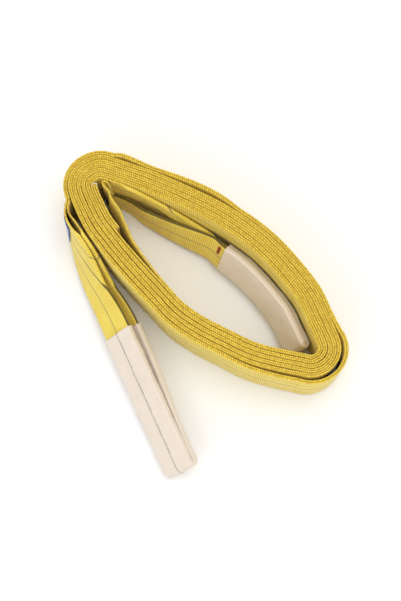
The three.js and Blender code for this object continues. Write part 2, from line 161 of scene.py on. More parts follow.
# ---- curves
def smooth(value, low, high):
    x = np.clip((np.asarray(value, float) - low) / (high - low), 0.0, 1.0)
    return x * x * (3 - 2 * x)


def between(value, rise_from, rise_by, fall_from, fall_by):
    """1 along a span that starts and ends softly, and nothing outside it."""
    return smooth(value, rise_from, rise_by) * (1 - smooth(value, fall_from, fall_by))


def run_along(points):
    """The distance along a line of points to each of them."""
    return np.concatenate([[0], np.cumsum(np.linalg.norm(np.diff(points, axis=0), axis=1))])


class Curve:
    """A centripetal Catmull-Rom curve in the drawing's plane."""

    def __init__(self, points, closed=False):
        p = np.asarray(points, float)
        if closed:
            before, start, end, after = np.roll(p, 1, 0), p, np.roll(p, -1, 0), np.roll(p, -2, 0)
        else:
            start, end = p[:-1], p[1:]
            before = np.vstack([2 * p[0] - p[1], p[:-2]])
            after = np.vstack([p[2:], 2 * p[-1] - p[-2]])
        d0, d1, d2 = (
            np.sqrt(np.linalg.norm(b - a, axis=1))[:, None]
            for a, b in ((before, start), (start, end), (end, after))
        )
        t1 = ((start - before) / d0 - (end - before) / (d0 + d1) + (end - start) / d1) * d1
        t2 = ((end - start) / d1 - (after - start) / (d1 + d2) + (after - end) / d2) * d1
        self.terms = (start, t1, 3 * (end - start) - 2 * t1 - t2, 2 * (start - end) + t1 + t2)
        self.spans = len(start)
        self.closed = closed
        parts = np.linspace(0, 1, self.spans * CURVE_SAMPLES + 1)
        run = run_along(self.point(parts))
        self.parts, self.run, self.length = parts, run, run[-1]

    def _where(self, part):
        x = np.atleast_1d(np.asarray(part, float)) * self.spans
        if self.closed:
            x = x % self.spans
        span = np.clip(np.floor(x).astype(int), 0, self.spans - 1)
        return span, (x - span)[:, None]

    def point(self, part):
        k, x = self._where(part)
        a, b, c, d = (term[k] for term in self.terms)
        return a + b * x + c * x**2 + d * x**3

    def tangent(self, part):
        k, x = self._where(part)
        _, b, c, d = (term[k] for term in self.terms)
        slope = b + 2 * c * x + 3 * d * x**2
        return slope / np.linalg.norm(slope, axis=1)[:, None]

    def part_at(self, distance):
        return np.interp(distance, self.run, self.parts)


UP = np.array([0.0, 0.0, 1.0])


def left_of(direction):
    """The left-hand normals of directions in the plane."""
    return np.stack([-direction[:, 1], direction[:, 0]], 1)


def raised(flat_points, z=0.0):
    """Points or directions of the plane as three-dimensional ones."""
    heights = np.broadcast_to(np.asarray(z, float), (len(flat_points),))
    return np.column_stack([flat_points, heights])


CORE = Curve(CORE_POINTS, closed=True)


def loose_gap(turn):
    gap = np.zeros_like(turn)
    for span in LOOSE_SPANS:
        away = np.abs(turn - span["at"]) / span["reach"]
        gap += np.where(away < 1, span["gap"] * (1 - np.minimum(away, 1) ** 2) ** 2, 0)
    return gap


def coil(turn):
    """The inner face of the ply pair after so many turns, and its outward direction."""
    turn = np.atleast_1d(np.asarray(turn, float))
    out = left_of(CORE.tangent(turn))
    distance = TURN_PITCH * (TURNS - turn) + loose_gap(turn)
    return CORE.point(turn) + out * distance[:, None], out


# ---- how the plies settle
SETTLE_TURN = 0.03
SETTLED_PAST = 0.05
LOWER_BANK = (0.54, 0.62, 0.9, 0.98)
HUG_ELSEWHERE = 0.45
DRIFT_WAVES = [(0.13, 3.71, 0.4), (0.09, 9.37, 1.9), (0.05, 21.3, 0.8)]
RISE_WAVES = [(0.45, 2.3, 0.2, 1), (0.35, 5.9, 1.1, 2), (0.2, 13.7, 0, 1)]


def waves(turn, terms):
    """A sum of waves, each with a size, a rate per turn and a phase."""
    return sum(size * np.sin(2 * math.pi * rate * turn + phase) for size, rate, phase in terms)


def settled(turn):
    """Nothing at the two ends of the body, where the eyes take over, and 1 between."""
    return between(turn, 0, SETTLE_TURN, TURNS + SETTLED_PAST, TURNS + INNER_START)


def pair_drift(turn):
    """How far the two plies wander together from their even spacing."""
    return settled(turn) * waves(turn, DRIFT_WAVES)


def hug(turn):
    """How far each ply leans on its partner: most in the lower bank, where the turns gap."""
    lower = between(turn % 1, *LOWER_BANK)
    return settled(turn) * HUG * (HUG_ELSEWHERE + (1 - HUG_ELSEWHERE) * lower)


def edge_rise(turn, ply):
    """How far ply 0 or 1 stands above the surface that it lies on, each in its own phase."""
    terms = [(size, rate, phase + shift * ply) for size, rate, phase, shift in RISE_WAVES]
    return settled(turn) * EDGE_RISE * (1 + waves(turn, terms))


# ---- stations along the webbing
def resampled(step, guide, *arrays):
    """Arrays evened out along the guide's own length, and that length at each station."""
    run = run_along(guide)
    count = max(2, round(run[-1] / step))
    even = np.linspace(0, run[-1], count + 1)
    result = [
        np.column_stack([np.interp(even, run, column) for column in array.T]) for array in arrays
    ]
    return even, result


def unit(vectors):
    return vectors / np.linalg.norm(vectors, axis=-1, keepdims=True)


def make_stations(foot, width, outward, fold, step=STEP, along_from=0.0):
    """Even stations: foot of the outer half, width axis, outward axis, fold, distance along."""
    fold = np.broadcast_to(np.asarray(fold, float), (len(foot),))[:, None]
    even, (foot, width, outward, fold) = resampled(step, foot, foot, width, outward, fold)
    return {
        "foot": foot, "width": unit(width), "outward": unit(outward), "fold": fold[:, 0],
        "along": even + along_from,
    }


STATION_PARTS = ("foot", "width", "outward", "fold")


def leg_stations(leg, **spacing):
    return make_stations(*(leg[part] for part in STATION_PARTS), **spacing)


def standing(points, out, rise=0.0, lean=None):
    """Stations of a ply that stands on edge, its foot out by the lean from its upper edge."""
    foot = raised(points, rise)
    out = raised(out)
    up = np.tile(UP * WEB_WIDTH, (len(foot), 1))
    if lean is not None:
        foot = foot + out * lean[:, None]
        up = up - out * lean[:, None]
    return make_stations(foot, up, out, 0.0)


def outer_ply_stations():
    turn = np.linspace(0, TURNS + INNER_START, OUTER_PLY_SAMPLES)
    point, out = coil(turn)
    offset = PLY_STEP + HALF_PLY - hug(turn) + pair_drift(turn)
    return standing(point + out * offset[:, None], out, edge_rise(turn, 0))


def pocket_route():
    """The inner ply's way out of the coil and back through its sharp left end."""
    def middle(turn, inwards):
        point, out = coil(turn)
        return (point + out * (HALF_PLY - inwards))[0]

    points = [middle(POCKET_START, -hug(np.array([POCKET_START]))[0])]
    points += [middle(turn, inwards) for turn, inwards in POCKET_BOW]
    points += [np.array(point, float) for point in POCKET_BEND]
    points.append(middle(TURNS + INNER_START, 0))
    return Curve(points)


def inner_ply_stations():
    turn = np.linspace(0, POCKET_START, INNER_PLY_SAMPLES)
    point, out = coil(turn)
    fade = 1 - smooth(turn, POCKET_START - SETTLE_TURN, POCKET_START)
    offset = HALF_PLY + hug(turn) + pair_drift(turn) * fade
    route = pocket_route()
    part = np.linspace(0, 1, POCKET_SAMPLES)[1:]
    pocket_out = left_of(route.tangent(part))
    points = np.vstack([point + out * offset[:, None], route.point(part)])
    rise = np.concatenate([edge_rise(turn, 1), edge_rise(POCKET_START, 1) * (1 - part)])
    knot = part * (len(POCKET_BOW) + len(POCKET_BEND) + 1)
    lean = np.concatenate([np.zeros(len(turn)), POCKET_LEAN * between(knot, *POCKET_LEANING)])
    return standing(points, np.vstack([out, pocket_out]), rise, lean)


def outer_line():
    point, out = coil(0.0)
    start = (point + out * (PLY_STEP + HALF_PLY))[0]
    return Curve([start, *OUTER_POINTS, MOUTH])


OUTER_LINE = outer_line()
OUTER_LEG = OUTER_LINE.length
SLEEVE_WAY = (TIP - MOUTH) / np.linalg.norm(TIP - MOUTH)
OUTER_TIP = OUTER_LEG + float(np.linalg.norm(TIP - MOUTH))


def outer_place(distance):
    """Point and direction of the outer eye's line, after its last bend a straight one."""
    part = OUTER_LINE.part_at(np.minimum(distance, OUTER_LEG))
    beyond = np.maximum(distance - OUTER_LEG, 0)[:, None]
    point = OUTER_LINE.point(part) + SLEEVE_WAY * beyond
    along = np.where(beyond > 0, SLEEVE_WAY, OUTER_LINE.tangent(part))
    return point, unit(along)


def outer_leg(distance):
    """The near leg of the outer eye, which stands up at the coil and leans over at its tip."""
    distance = np.atleast_1d(np.asarray(distance, float))
    point, along = outer_place(distance)
    right = raised(left_of(along))
    settle = smooth(distance, 0, OUTER_LEG)
    lean = np.radians(90 - OUTER_LEAN * settle)[:, None]
    width = right * np.cos(lean) + UP * np.sin(lean)
    outward = -right * np.sin(lean) + UP * np.cos(lean)
    spread = PLY_STEP + LEG_ROOM * smooth(distance, STUB, OUTER_FOLD_FROM)
    widened = MOUTH_SPREAD - PLY_STEP - LEG_ROOM
    spread = spread + widened * smooth(distance, OUTER_WIDEN_FROM, OUTER_LEG)
    narrowed = LEG_SPREAD - MOUTH_SPREAD
    spread = spread + narrowed * smooth(distance, OUTER_LEG, OUTER_TIP)
    thick = HALF_PLY + (SLEEVE_OUT - HALF_PLY + OUTER_ROOM) * settle
    lift = (spread + thick) * np.cos(lean[:, 0]) + SLEEVE_LIFT * settle * np.sin(lean[:, 0])
    fold = smooth(distance, OUTER_FOLD_FROM, OUTER_FOLD_BY)
    return {
        "foot": raised(point, lift), "width": width, "outward": outward,
        "spread": spread, "fold": fold,
    }


def leaning(wall, hole, lean, height, distance, fold, facing=1.0):
    """A leg that leans on the wall behind it, from its foot's height and distance off it."""
    cosine, sine = np.cos(lean)[:, None], np.sin(lean)[:, None]
    return {
        "foot": raised(wall, height) + hole * distance[:, None],
        "width": UP * cosine - hole * sine,
        "outward": facing * (hole * cosine + UP * sine), "fold": fold,
    }


def inner_legs(place):
    """The inner eye's two legs. The far one stands against the wall, then folds and leans."""
    place = np.atleast_1d(np.asarray(place, float))
    wall, out = coil(TURNS - 1 + place)
    hole = raised(-out)
    in_sleeve = smooth(place, INNER_SLEEVE_AT - SLEEVE_LEAD, INNER_SLEEVE_AT)
    near_out = smooth(place, INNER_START, NEAR_OUT_BY)
    near_fold = smooth(place, NEAR_FOLD_FROM, NEAR_FOLD_BY)
    far_fold = smooth(place, FAR_FOLD_FROM, FAR_FOLD_BY)
    lean = np.radians(INNER_LEAN) * smooth(place, INNER_LEAN_FROM, FAR_FOLD_BY)
    front = HALF_PLY + (SLEEVE_OUT - HALF_PLY) * in_sleeve
    crest = CREST + (SLEEVE + CLEARANCE) * in_sleeve
    far_crest = crest + (WEB_WIDTH - FOLDED_HEIGHT) * (1 - far_fold)
    low = INNER_FOOT * smooth(place, FAR_FOLD_BY, INNER_SLEEVE_AT)

    def far_place(angle):
        away = CLEARANCE + far_crest * np.sin(angle) + front * np.cos(angle)
        return low + front * np.sin(angle), away

    near_back = HALF_PLY + PLY_STEP * near_out
    standing_up = near_back * np.sin(lean)
    stand_off = PLY_STEP + CLEARANCE + crest * np.sin(lean) + near_back * np.cos(lean)
    slip = INNER_SLIP * smooth(place, FAR_FOLD_FROM, INNER_SLEEVE_AT)
    spread = 2 * (front + PLY_STEP) + SEAM_ROOM
    moved = smooth(far_fold, 0, FAR_HALF_FOLDED)
    far_height, far_away = far_place(lean)
    stacked_up = far_height + spread * np.sin(lean) + slip * np.cos(lean)
    stacked_off = far_away + spread * np.cos(lean) - slip * np.sin(lean)
    height = standing_up + (stacked_up - standing_up) * moved
    away = stand_off + (stacked_off - stand_off) * moved
    near = leaning(wall, hole, lean, height, away, near_fold)
    far_lean = lean * far_fold
    far = leaning(wall, hole, far_lean, *far_place(far_lean), far_fold, facing=-1.0)
    return near, far


def far_side(leg):
    """The other leg faces the other way, one spread behind."""
    return {
        "foot": leg["foot"] - leg["outward"] * leg["spread"][:, None],
        "width": leg["width"], "outward": -leg["outward"], "fold": leg["fold"],
    }


def bight(near, far, way):
    """A half turn about the width axis, from the near leg's end to the far leg's."""
    foot, width, outward = (near[key][-1] for key in ("foot", "width", "outward"))
    ahead = np.cross(outward, width)
    ahead = ahead / np.linalg.norm(ahead) * np.sign(ahead[:2] @ way)
    centre = (foot + far["foot"][-1]) / 2
    radius = (foot - centre) @ outward
    slip = (foot - centre) @ width
    turn = np.linspace(0, math.pi, BIGHT_SAMPLES)[1:-1, None]
    direction = outward * np.cos(turn) + ahead * np.sin(turn)
    return {
        "foot": centre + direction * radius + width * slip * np.cos(turn),
        "width": np.tile(width, (len(turn), 1)),
        "outward": direction, "fold": np.full(len(turn), near["fold"][-1]),
    }


def round_the_tip(near, far, way, step=STEP, along_from=0.0):
    """Stations down the near leg, round the bight and back up the far leg."""
    turn = bight(near, far, way)
    loop = {
        part: np.concatenate([near[part], turn[part], far[part][::-1]]) for part in STATION_PARTS
    }
    return leg_stations(loop, step=step, along_from=along_from)


# ---- sections
LEAST_COLUMN = 0.03
CAP_TURNS = np.radians([45, 90, 135])


def creased(fold, front_columns, crease_columns, hanging_columns):
    """Across the webbing over its crease: distances across, height, outwards, turn."""
    fold = fold[:, None]
    front = WEB_WIDTH - fold * (WEB_WIDTH - FOLDED_HEIGHT)
    crease = np.minimum(WEB_WIDTH - front, CREASE_LENGTH)
    steps = [
        HALF_WEB + (front - HALF_WEB) * np.linspace(0, 1, front_columns)[None],
        front + crease * np.linspace(0, 1, crease_columns + 1)[None, 1:],
        front + crease
        + (WEB_WIDTH - front - crease) * np.linspace(0, 1, hanging_columns + 1)[None, 1:],
    ]
    across = np.concatenate(steps, 1)
    room = LEAST_COLUMN * np.arange(across.shape[1] - 1, -1, -1)[None]
    across = np.minimum(across, WEB_WIDTH - HALF_WEB - room)
    turn = np.clip((across - front) / CREASE_RADIUS, 0, math.pi)
    rest = np.maximum(across - front - CREASE_RADIUS * turn, 0)
    flat = np.minimum(across, front)
    up = flat + CREASE_RADIUS * np.sin(turn) + rest * np.cos(turn)
    out = CREASE_RADIUS * (np.cos(turn) - 1) - rest * np.sin(turn)
    return across, up, out, turn


def straight(fold, columns=3):
    across = np.linspace(HALF_WEB, WEB_WIDTH - HALF_WEB, columns)[None].repeat(len(fold), 0)
    return across, across, np.zeros_like(across), np.zeros_like(across)


def thickened(stations, section, half, rib=(0.0, 0.0), slant=0.0):
    """Both faces and rounded edges of a sheet: points, distance across and side of each."""
    across, up, out, turn = section
    columns = across.shape[1]
    last, first = [columns - 1] * len(CAP_TURNS), [0] * len(CAP_TURNS)
    order = list(range(columns)) + last + list(range(columns - 1, -1, -1)) + first
    tilt = np.concatenate([
        np.zeros(columns), CAP_TURNS, np.full(columns, math.pi), math.pi + CAP_TURNS,
    ])[None]
    across, up, out, turn = (part[:, order] for part in (across, up, out, turn))
    side = np.cos(tilt)
    phase = stations["along"][:, None] / RIB_PITCH + slant * side
    size = rib[0] + (rib[1] - rib[0]) * np.abs(np.sin(tilt))
    thick = half + size * np.cos(2 * math.pi * phase)
    normal, tangent = thick * side, thick * np.sin(tilt)
    up = up + normal * np.sin(turn) + tangent * np.cos(turn)
    out = out + normal * np.cos(turn) - tangent * np.sin(turn)
    points = (
        stations["foot"][:, None]
        + stations["width"][:, None] * up[..., None]
        + stations["outward"][:, None] * out[..., None]
    )
    side = np.broadcast_to(side, across.shape)
    return points, across + tangent, side, columns


# ---- meshes
LAYOUT_SIDE = 0.01
LAYOUT_ROW_SPARE = 1.01
LAYOUT_ROW_EDGE = 0.03
THREAD_SIDES = 6
THREAD_TIP = 0.45
STEEP = 0.9


def quads_of(rows, loop):
    i, j = np.meshgrid(np.arange(rows - 1), np.arange(loop), indexing="ij")
    k = (j + 1) % loop
    return np.stack([i * loop + j, (i + 1) * loop + j, (i + 1) * loop + k, i * loop + k], -1)


def end_faces(base, columns, loop):
    """The faces that close one end of a sheet: a strip between its faces and two round ends."""
    caps = len(CAP_TURNS)
    back = columns + caps
    faces = []
    for j in range(columns - 1):
        faces.append([base + j, base + j + 1, base + back + columns - 2 - j,
                      base + back + columns - 1 - j])
    faces.append([base + columns - 1 + k for k in range(caps + 2)])
    faces.append([base + (loop - caps - 1 + k) % loop for k in range(caps + 2)])
    return faces


def signed_volume(points, quads):
    a, b, c, d = (points[quads[:, k]] for k in range(4))
    return (a * (np.cross(b, c) + np.cross(c, d))).sum()


def in_scene(name, data):
    """A new object of some data, in the scene."""
    item = bpy.data.objects.new(name, data)
    bpy.context.scene.collection.objects.link(item)
    return item


def new_object(name, points, faces, material):
    """A smooth-shaded object at the origin of the frame, from points in millimetres."""
    mesh = bpy.data.meshes.new(name)
    mesh.from_pydata(((points + DRAWING_SHIFT) * MM).tolist(), [], faces)
    mesh.materials.append(material)
    mesh.polygons.foreach_set("use_smooth", [True] * len(mesh.polygons))
    mesh.update()
    return in_scene(name, mesh)


def sheet_object(name, grid, along, material):
    """A sheet's mesh, with its distances along and across in metres and a layout in rows."""
    points, across, side, columns = grid
    rows, loop = points.shape[:2]
    flat_points = points.reshape(-1, 3)
    quads = quads_of(rows, loop).reshape(-1, 4)
    first, last = (end_faces(base, columns, loop) for base in (0, (rows - 1) * loop))
    faces = quads.tolist() + [face[::-1] for face in first] + last
    if signed_volume(flat_points, quads) < 0:
        faces = [face[::-1] for face in faces]
    item = new_object(name, flat_points, faces, material)
    mesh = item.data
    corner = np.zeros(len(mesh.loops), int)
    mesh.loops.foreach_get("vertex_index", corner)
    strip = np.column_stack([along[corner // loop], across.reshape(-1)[corner]]) * MM
    layer = mesh.uv_layers.new(name="Strip")
    layer.data.foreach_set("uv", strip.astype(np.float32).ravel())
    lay_out(mesh, corner, along, points, loop)
    attribute = mesh.attributes.new("side", "FLOAT", "POINT")
    attribute.data.foreach_set("value", side.reshape(-1).astype(np.float32))
    return item


def lay_out(mesh, corner, along, points, loop):
    """The unfolded strip, cut into rows that fill a square."""
    ring = points[len(points) // 2]
    edges = np.linalg.norm(np.roll(ring, -1, 0) - ring, axis=1)
    around = np.concatenate([[0], np.cumsum(edges)])
    length = along[-1] - along[0]
    rows = max(1, round(math.sqrt(length / around[-1])))
    row_length = length / rows
    sizes = np.zeros(len(mesh.polygons), int)
    mesh.polygons.foreach_get("loop_total", sizes)
    starts = np.concatenate([[0], np.cumsum(sizes)[:-1]])
    station, column = corner // loop, corner % loop
    middle = np.add.reduceat(along[station] - along[0], starts) / sizes
    row = np.minimum((middle / row_length).astype(int), rows - 1)
    wraps = np.maximum.reduceat(column, starts) - np.minimum.reduceat(column, starts) == loop - 1
    row, wraps = np.repeat(row, sizes), np.repeat(wraps, sizes)
    column = np.where(wraps & (column == 0), loop, column)
    in_row = (along[station] - along[0] - row * row_length) / (row_length * LAYOUT_ROW_SPARE)
    u = LAYOUT_SIDE + (1 - 2 * LAYOUT_SIDE) * in_row
    v = (row + LAYOUT_ROW_EDGE + (1 - 2 * LAYOUT_ROW_EDGE) * around[column] / around[-1]) / rows
    layer = mesh.uv_layers.new(name="OFBake")
    layer.data.foreach_set("uv", np.column_stack([u, v]).astype(np.float32).ravel())


def tube_points(path, radius):
    """Rings round a path in millimetres, with its two ends drawn in."""
    path = np.asarray(path, float)
    ahead = unit(np.gradient(path, axis=0))
    helper = np.tile(UP, (len(path), 1))
    helper[np.abs(ahead[:, 2]) > STEEP] = [1.0, 0.0, 0.0]
    first = unit(np.cross(ahead, helper))
    second = np.cross(ahead, first)
    turn = np.linspace(0, 2 * math.pi, THREAD_SIDES, endpoint=False)
    size = np.full(len(path), radius)
    size[0] = size[-1] = radius * THREAD_TIP
    ring = first[:, None] * np.cos(turn)[None, :, None]
    ring = ring + second[:, None] * np.sin(turn)[None, :, None]
    return path[:, None] + ring * size[:, None, None]


def threads(name, paths, radius, material):
    """Lengths of thread, closed at both ends, as one object."""
    points, faces, sides = [], [], THREAD_SIDES
    for path in paths:
        rings = tube_points(path, radius)
        base = sum(len(part) for part in points)
        flat_points = rings.reshape(-1, 3)
        quads = quads_of(len(rings), sides).reshape(-1, 4)
        ends = [list(range(sides)), list(range((len(rings) - 1) * sides, len(rings) * sides))]
        flip = signed_volume(flat_points, quads) < 0
        sides_out = (quads[:, ::-1] if flip else quads) + base
        ends = [ends[0][::-1], ends[1]] if not flip else [ends[0], ends[1][::-1]]
        points.append(flat_points)
        faces += sides_out.tolist() + [[k + base for k in end] for end in ends]
    return new_object(name, np.vstack(points), faces, material)


# ---- materials
class Shader:
    """Small helpers that add nodes to one material and link them."""

    def __init__(self, name, roughness, sheen=0.0, specular=0.35):
        self.material = bpy.data.materials.new(name)
        self.material.use_nodes = True
        self.nodes = self.material.node_tree.nodes
        self.links = self.material.node_tree.links
        self.surface = self.nodes["Principled BSDF"]
        for socket, value in (
            ("Roughness", roughness), ("Sheen Weight", sheen), ("Sheen Roughness", 0.5),
            ("Specular IOR Level", specular),
        ):
            self.surface.inputs[socket].default_value = value

    def put(self, socket, value):
        if isinstance(value, bpy.types.NodeSocket):
            self.links.new(value, socket)
        else:
            socket.default_value = value

    def math(self, operation, first, second=0.0, clamp=False):
        node = self.nodes.new("ShaderNodeMath")
        node.operation = operation
        node.use_clamp = clamp
        self.put(node.inputs[0], first)
        self.put(node.inputs[1], second)
        return node.outputs[0]

    def plus(self, first, second, clamp=False):
        return self.math("ADD", first, second, clamp)

    def minus(self, first, second, clamp=False):
        return self.math("SUBTRACT", first, second, clamp)

    def times(self, first, second, clamp=False):
        return self.math("MULTIPLY", first, second, clamp)

    def over(self, first, second):
        return self.math("DIVIDE", first, second)

    def weighted(self, *terms, clamp=False):
        """The sum of two or more values, each times its own weight."""
        total = self.times(*terms[0])
        for value, weight in terms[1:-1]:
            total = self.plus(total, self.times(value, weight))
        return self.plus(total, self.times(*terms[-1]), clamp)

    def mix(self, factor, low, high):
        node = self.nodes.new("ShaderNodeMix")
        node.data_type = "RGBA"
        self.put(node.inputs["Factor"], factor)
        self.put(node.inputs["A"], low)
        self.put(node.inputs["B"], high)
        return node.outputs["Result"]

    def strip(self):
        """The strip's coordinates, and its distances along and across in metres."""
        uv = self.nodes.new("ShaderNodeUVMap")
        uv.uv_map = "Strip"
        split = self.nodes.new("ShaderNodeSeparateXYZ")
        self.links.new(uv.outputs[0], split.inputs[0])
        return uv.outputs[0], split.outputs[0], split.outputs[1]

    def side(self):
        """1 on a sheet's outer face, -1 on its inner one."""
        node = self.nodes.new("ShaderNodeAttribute")
        node.attribute_name = "side"
        return node.outputs["Fac"]

    def wave(self, distance, pitch, phase=0.0):
        """A cosine from 0 to 1 with its crests a pitch apart, in millimetres."""
        turns = self.plus(self.over(distance, pitch * MM), phase)
        cosine = self.math("COSINE", self.times(turns, 2 * math.pi))
        return self.plus(self.times(cosine, 0.5), 0.5)

    def band(self, distance, middle, half_width, soft):
        """1 within half_width of the middle, falling to 0 over the soft distance, in mm."""
        away = self.math("ABSOLUTE", self.minus(distance, middle * MM))
        beyond = self.over(self.minus(away, half_width * MM), soft * MM)
        return self.minus(1.0, beyond, clamp=True)

    def noise(self, vector, scale, detail=3.0):
        node = self.nodes.new("ShaderNodeTexNoise")
        node.inputs["Scale"].default_value = scale
        node.inputs["Detail"].default_value = detail
        self.links.new(vector, node.inputs["Vector"])
        return node.outputs["Fac"]

    def position(self):
        return self.nodes.new("ShaderNodeTexCoord").outputs["Object"]

    def colour(self, value):
        self.put(self.surface.inputs["Base Color"], value)

    def bump(self, height, depth, strength):
        """Relief of a depth in millimetres."""
        node = self.nodes.new("ShaderNodeBump")
        node.inputs["Strength"].default_value = strength
        node.inputs["Distance"].default_value = depth * MM
        self.links.new(height, node.inputs["Height"])
        self.links.new(node.outputs[0], self.surface.inputs["Normal"])


def linear(*display):
    """A display colour of 0 to 255 as the shader's linear one."""
    parts = (value / 255 for value in display)
    return (*(x / 12.92 if x <= 0.04045 else ((x + 0.055) / 1.055) ** 2.4 for x in parts), 1.0)


BRIGHT_YELLOW = linear(246, 230, 118)
# DEEP_YELLOW is the yarn's darker tone and also the painted shade in the webbing's rib valleys.
DEEP_YELLOW = linear(208, 174, 24)
GOLD = linear(168, 118, 8)
LOOP_YELLOW = linear(250, 220, 66)
MARKER_BLACK = linear(30, 34, 34)
MARKER_GREY = linear(104, 108, 88)
PALE_CREAM = linear(240, 230, 218)
DULL_CREAM = linear(204, 188, 170)
SOILED_CREAM = linear(196, 180, 154)
NEEDLE_HOLE = linear(150, 138, 120)
PALE_BLUE = linear(112, 142, 220)
DEEP_BLUE = linear(52, 84, 176)

WARP_PITCH = 1.15
EDGE_BAND = 1.3
LOOP_SLANT = 0.38
# Each marker stripe: place across the webbing, half width and soft edge in mm, colour.
MARKERS = [
    (0.5, 0.9, 0.35, MARKER_BLACK), (0.25, 0.5, 0.3, MARKER_GREY), (0.75, 0.5, 0.3, MARKER_GREY),
]
TWILL_PITCH = 1.25
CLOTH_THREAD_PITCH = 0.8
SOIL_FROM = 0.54
HOLES_FROM_SEAM = 1.1
LABEL_WEAVE_PITCH = 0.6


def webbing_material():
    """Ribbed polyester webbing with marker stripes along it and slanted loops on its edges, with
    painted shade in its rib and warp valleys.
    """
    shader = Shader("yellow_webbing", 0.6, sheen=0.15)
    vector, along, across = shader.strip()
    rib = shader.wave(along, RIB_PITCH)
    row = shader.math("FLOOR", shader.plus(shader.over(along, RIB_PITCH * MM), 0.5))
    warp = shader.wave(across, WARP_PITCH, shader.times(row, 0.5))
    cloudy = shader.minus(shader.noise(vector, scale=34.0), 0.5)
    speckle = shader.minus(shader.noise(vector, scale=420.0, detail=1.0), 0.5)
    # Painted shade: the rib and warp valleys are coloured darker, toward DEEP_YELLOW; the speckle
    # and cloudy noise is the yarn's own uneven tone.
    rib_shade_and_tone = shader.weighted((rib, 0.62), (warp, 0.2), (speckle, 0.7), (cloudy, 0.5), clamp=True)
    colour = shader.mix(rib_shade_and_tone, DEEP_YELLOW, BRIGHT_YELLOW)

    from_edge = shader.math("MINIMUM", across, shader.minus(WEB_WIDTH * MM, across))
    edge = shader.minus(1.0, shader.over(from_edge, EDGE_BAND * MM), clamp=True)
    slanted = shader.wave(along, RIB_PITCH, shader.times(shader.side(), LOOP_SLANT))
    frayed = shader.weighted((slanted, 1.0), (speckle, 1.6), clamp=True)
    loops = shader.mix(frayed, GOLD, LOOP_YELLOW)
    colour = shader.mix(shader.times(edge, 0.85), colour, loops)

    dashes = shader.plus(shader.times(rib, 0.35), 0.65)
    for place, half_width, soft, shade in MARKERS:
        stripe = shader.band(across, WEB_WIDTH * place, half_width, soft)
        colour = shader.mix(shader.times(stripe, dashes), colour, shade)
    shader.colour(colour)
    height = shader.weighted((warp, 0.35), (rib, 0.65), (shader.times(slanted, edge), 1.2))
    shader.bump(height, depth=0.22, strength=0.8)
    return shader.material


def sleeve_material(seam_length):
    """Cream woven sleeve cloth with needle holes beside its seam, a little soiled."""
    shader = Shader("cream_sleeve", 0.85, sheen=0.25, specular=0.2)
    _, along, across = shader.strip()
    twill = shader.wave(shader.plus(along, across), TWILL_PITCH)
    thread = shader.wave(shader.minus(along, across), CLOTH_THREAD_PITCH)
    cloudy = shader.noise(shader.position(), scale=42.0, detail=4.0)
    fuzz = shader.noise(shader.position(), scale=900.0, detail=1.0)
    tone = shader.weighted((twill, 0.35), (thread, 0.15), (fuzz, 0.5), clamp=True)
    colour = shader.mix(tone, DULL_CREAM, PALE_CREAM)
    soil = shader.times(shader.minus(cloudy, SOIL_FROM), 3.0, clamp=True)
    colour = shader.mix(shader.times(soil, 0.35), colour, SOILED_CREAM)
    to_seam = shader.math("MINIMUM", across, shader.minus(seam_length * MM, across))
    beside = shader.band(to_seam, HOLES_FROM_SEAM, half_width=0.22, soft=0.25)
    spot = shader.math("GREATER_THAN", shader.wave(along, STITCH_PITCH), 0.9)
    shader.colour(shader.mix(shader.times(beside, spot), colour, NEEDLE_HOLE))
    height = shader.weighted((twill, 0.6), (fuzz, 0.5))
    shader.bump(height, depth=0.16, strength=0.7)
    return shader.material


def thread_material(name, shade):
    """Sewing thread, finely mottled."""
    shader = Shader(name, 0.7, sheen=0.2, specular=0.25)
    fine = shader.noise(shader.position(), scale=1800.0, detail=2.0)
    dark = tuple(channel * 0.7 for channel in shade[:3]) + (1.0,)
    shader.colour(shader.mix(fine, dark, shade))
    shader.bump(fine, depth=0.05, strength=0.6)
    return shader.material


def label_material():
    """A blue label, finely and closely woven, with nothing printed on it."""
    shader = Shader("blue_label", 0.45, sheen=0.1)
    vector, along, across = shader.strip()
    fine = shader.times(*(shader.wave(way, LABEL_WEAVE_PITCH) for way in (along, across)))
    tone = shader.weighted((fine, 0.5), (shader.noise(vector, scale=90.0), 0.4))
    shader.colour(shader.mix(tone, DEEP_BLUE, PALE_BLUE))
    shader.bump(fine, depth=0.05, strength=0.6)
    return shader.material


WEBBING = webbing_material()
PALE_THREAD = thread_material("pale_thread", linear(240, 234, 222))
GREY_THREAD = thread_material("grey_thread", linear(222, 214, 200))
RED_THREAD = thread_material("red_thread", linear(240, 104, 40))
BLUE_THREAD = thread_material("blue_thread", linear(108, 116, 196))
LABEL = label_material()


def web_sheet(name, stations, section, slant):
    """A piece of webbing, ribbed on its faces and more deeply on its edges."""
    grid = thickened(stations, section, HALF_WEB, (FACE_RIB, EDGE_RIB), slant)
    return sheet_object(name, grid, stations["along"], WEBBING)


def body_ply(name, stations, slant, node):
    item = web_sheet(name, stations, straight(stations["fold"]), slant)
    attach(item, "coil")
    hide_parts(node)
    return item


body_ply("outer_body_ply", outer_ply_stations(), EDGE_SLANT, "outer_ply")
body_ply("inner_body_ply", inner_ply_stations(), -EDGE_SLANT, "inner_ply")


def lap_route():
    """The doubled end between the plies: its middle surface, and its bend's centre and axes."""
    turn = np.linspace(LAP_START, LAP_END, LAP_SAMPLES)
    point, out = coil(turn)
    near = point + out * HALF_PLY
    far = (point + out * (HALF_PLY - PLY_STEP))[::-1]
    last_out = out[-1]
    ahead = -left_of(last_out[None])[0]
    radius = PLY_STEP / 2
    centre = point[-1] + last_out * (HALF_PLY - radius)
    turned = np.linspace(0, math.pi, LAP_BEND_SAMPLES)[1:-1, None]
    bend_out = last_out * np.cos(turned) + ahead * np.sin(turned)
    bend = centre + bend_out * radius
    points = np.vstack([near, bend, far])
    return points, np.vstack([out, bend_out, -out[::-1]]), centre, last_out, ahead


